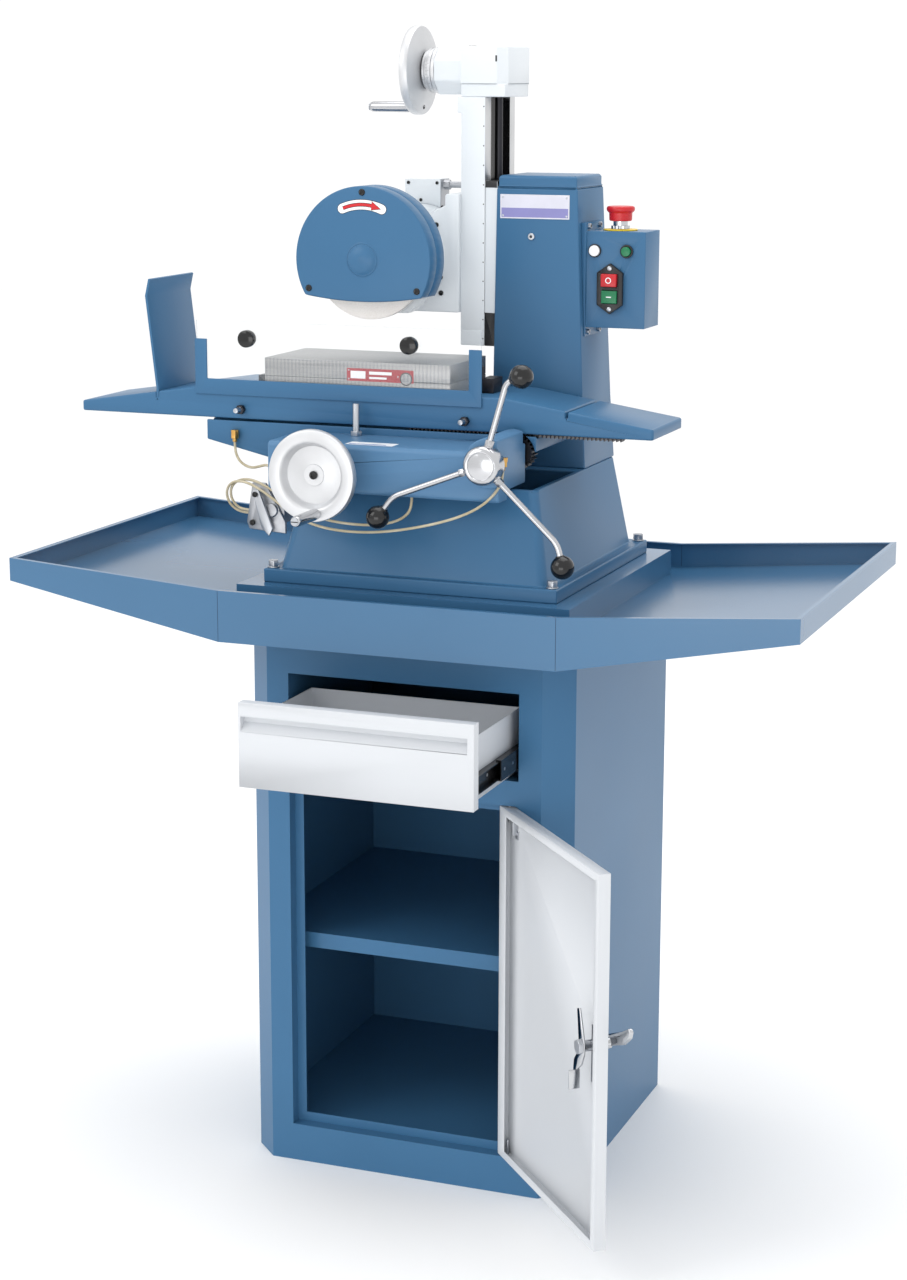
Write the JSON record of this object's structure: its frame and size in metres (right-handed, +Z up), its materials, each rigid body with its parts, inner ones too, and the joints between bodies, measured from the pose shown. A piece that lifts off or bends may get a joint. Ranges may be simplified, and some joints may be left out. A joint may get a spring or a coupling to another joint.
{
  "type": "surface grinder",
  "caption": "Manual surface grinder on a cabinet stand with drip trays, magnetic chuck table, capstan and handwheel feeds, open drawer and cupboard door",
  "frame": {"origin": "centre of the cabinet's footprint on the floor, which is also the centre of its four anchor holes", "axes": "+X to the operator's right, +Y away from the operator towards the column, +Z up"},
  "size_m": [1.22, 0.8267, 1.722],
  "materials": {
    "blue_paint": "satin",
    "blue_casting": "satin paint over cast iron",
    "white_casting": "satin paint over cast iron",
    "white_paint": "satin",
    "black_steel": "satin",
    "zinc_steel": "zinc plated",
    "ground_steel": "ground",
    "bronze": "machined",
    "brass": "machined",
    "grey_die_cast": "as cast",
    "clear_tube": "translucent",
    "polished_aluminium": "turned",
    "bright_chrome": "polished",
    "black_plastic": "gloss",
    "clear_sheet": "clear acrylic",
    "abrasive": "vitrified abrasive",
    "red_plastic": "gloss",
    "green_plastic": "gloss"
  },
  "bodies": {
    "stand": {"cabinet_shell": "blue_paint", "cabinet_panels": "blue_paint", "machine_pad": "blue_paint", "centre_tray": "blue_paint", "left_wing": "blue_paint", "right_wing": "blue_paint", "drawer_outer_rails": "black_steel", "base_casting": "blue_casting", "base_bolts": "zinc_steel", "lead_nuts": "bronze", "column": "blue_casting", "column_guide": "white_casting", "control_box": "blue_paint", "control_fittings": "black_plastic"},
    "drawer_box": {"drawer": "white_paint", "drawer_inner_rails": "black_steel"},
    "drawer_mid": {"drawer_mid_rails": "black_steel"},
    "door": {"door_panel": "white_paint", "door_fittings": "zinc_steel"},
    "latch": {"latch_handle": "zinc_steel"},
    "cross_slide": {"saddle": "blue_casting", "apron": "blue_casting", "table_stop_pin": "zinc_steel", "oil_fittings": "brass", "oil_pump": "grey_die_cast", "oil_hose_left": "clear_tube", "oil_hose_mid": "clear_tube", "oil_hose_right": "clear_tube"},
    "oil_lever": {"pump_lever": "grey_die_cast"},
    "cross_wheel": {"cross_handwheel": "polished_aluminium", "cross_feed_screw": "ground_steel"},
    "cross_sleeve": {"cross_grip": "polished_aluminium"},
    "capstan": {"capstan_hub": "bright_chrome", "capstan_knobs": "black_plastic", "capstan_shaft": "ground_steel"},
    "work_table": {"table": "blue_casting", "table_rack": "ground_steel", "front_guard": "blue_paint", "deflector_plate": "blue_paint", "magnetic_chuck": "ground_steel", "table_hardware": "zinc_steel"},
    "shield": {"clear_shield": "clear_sheet"},
    "chuck_cam": {"chuck_switch": "zinc_steel"},
    "wheel_head": {"vertical_slide": "white_casting", "gearbox_housing": "white_casting", "head_casting": "white_casting", "wheel_guard": "blue_casting", "guard_cover": "blue_paint", "terminal_box": "white_casting", "motor_internals": "ground_steel"},
    "spindle": {"spindle_rotor": "ground_steel", "grinding_wheel": "abrasive", "wheel_flanges": "zinc_steel"},
    "elevation_wheel": {"elevating_handwheel": "polished_aluminium"},
    "elevation_sleeve": {"elevating_grip": "polished_aluminium"},
    "elevation_screw": {"elevating_screw": "ground_steel"},
    "stop_mushroom": {"emergency_stop": "red_plastic"},
    "start_key": {"start_button": "green_plastic"},
    "stop_key": {"stop_button": "red_plastic"},
    "reset_key": {"reset_button": "green_plastic"}
  },
  "joints": [
    {"name": "drawer_slide", "type": "slide", "parent": "stand", "child": "drawer_box", "axis": [0, -1, 0], "range_m": [-0.178, 0.015]},
    {"name": "drawer_mid_slide", "type": "slide", "parent": "stand", "child": "drawer_mid", "axis": [0, -1, 0], "range_m": [-0.089, 0.0075]},
    {"name": "door_hinge", "type": "hinge", "parent": "stand", "child": "door", "pos_m": [0.168, -0.243, 0.333], "axis": [0, 0, 1], "range_deg": [-131.7, 0]},
    {"name": "latch_turn", "type": "hinge", "parent": "door", "child": "latch", "pos_m": [0.36992, -0.48767, 0.352], "axis": [-0.7466, -0.6652, 0], "range_deg": [0, 90]},
    {"name": "saddle_slide", "type": "slide", "parent": "stand", "child": "cross_slide", "axis": [0, 1, 0], "range_m": [-0.095, 0.02]},
    {"name": "cross_wheel_turn", "type": "hinge", "parent": "cross_slide", "child": "cross_wheel", "pos_m": [-0.116, -0.303, 1.085], "axis": [0, 1, 0], "continuous": true},
    {"name": "cross_grip_turn", "type": "hinge", "parent": "cross_wheel", "child": "cross_sleeve", "pos_m": [-0.10797, -0.35, 1.03059], "axis": [0, 1, 0], "continuous": true},
    {"name": "table_slide", "type": "slide", "parent": "cross_slide", "child": "work_table", "axis": [1, 0, 0], "range_m": [-0.15, 0.17]},
    {"name": "capstan_turn", "type": "hinge", "parent": "cross_slide", "child": "capstan", "pos_m": [0.136, -0.276, 1.11], "axis": [0, 1, 0], "continuous": true},
    {"name": "shield_lift", "type": "slide", "parent": "work_table", "child": "shield", "axis": [0, 0, 1], "range_m": [0, 0.11]},
    {"name": "chuck_switch_turn", "type": "hinge", "parent": "work_table", "child": "chuck_cam", "pos_m": [-0.039, -0.129, 1.209], "axis": [0, 1, 0], "range_deg": [0, 180]},
    {"name": "oil_lever_pull", "type": "hinge", "parent": "cross_slide", "child": "oil_lever", "pos_m": [-0.256, -0.195, 1.034], "axis": [0, 1, 0], "range_deg": [0, 35]},
    {"name": "head_slide", "type": "slide", "parent": "stand", "child": "wheel_head", "axis": [0, 0, 1], "range_m": [-0.057, 0.14]},
    {"name": "wheel_spin", "type": "hinge", "parent": "wheel_head", "child": "spindle", "pos_m": [-0.119, -0.076, 1.38], "axis": [0, 1, 0], "continuous": true},
    {"name": "elevation_wheel_turn", "type": "hinge", "parent": "wheel_head", "child": "elevation_wheel", "pos_m": [-0.11, 0.103, 1.655], "axis": [1, 0, 0], "continuous": true},
    {"name": "elevation_grip_turn", "type": "hinge", "parent": "elevation_wheel", "child": "elevation_sleeve", "pos_m": [-0.158, 0.103, 1.6], "axis": [1, 0, 0], "continuous": true},
    {"name": "elevation_screw_turn", "type": "hinge", "parent": "wheel_head", "child": "elevation_screw", "pos_m": [0.018, 0.103, 1.45], "axis": [0, 0, 1], "continuous": true},
    {"name": "emergency_stop_press", "type": "slide", "parent": "stand", "child": "stop_mushroom", "axis": [0, 0, -1], "range_m": [0, 0.006], "stiffness_N_per_m": 500, "springref_m": -0.004},
    {"name": "start_press", "type": "slide", "parent": "stand", "child": "start_key", "axis": [0, 1, 0], "range_m": [0, 0.0025], "stiffness_N_per_m": 300, "springref_m": -0.002},
    {"name": "stop_press", "type": "slide", "parent": "stand", "child": "stop_key", "axis": [0, 1, 0], "range_m": [0, 0.0025], "stiffness_N_per_m": 300, "springref_m": -0.002},
    {"name": "reset_press", "type": "slide", "parent": "stand", "child": "reset_key", "axis": [0, 1, 0], "range_m": [0, 0.0025], "stiffness_N_per_m": 300, "springref_m": -0.002}
  ],
  "couplings": [
    {"joint": "drawer_mid_slide", "follows": "drawer_slide", "ratio": 0.5},
    {"joint": "cross_wheel_turn", "follows": "saddle_slide", "rad_per_m": 1256.6},
    {"joint": "capstan_turn", "follows": "table_slide", "rad_per_m": 41.667},
    {"joint": "elevation_screw_turn", "follows": "head_slide", "rad_per_m": 1256.6},
    {"joint": "elevation_wheel_turn", "follows": "head_slide", "rad_per_m": -1256.6}
  ]
}
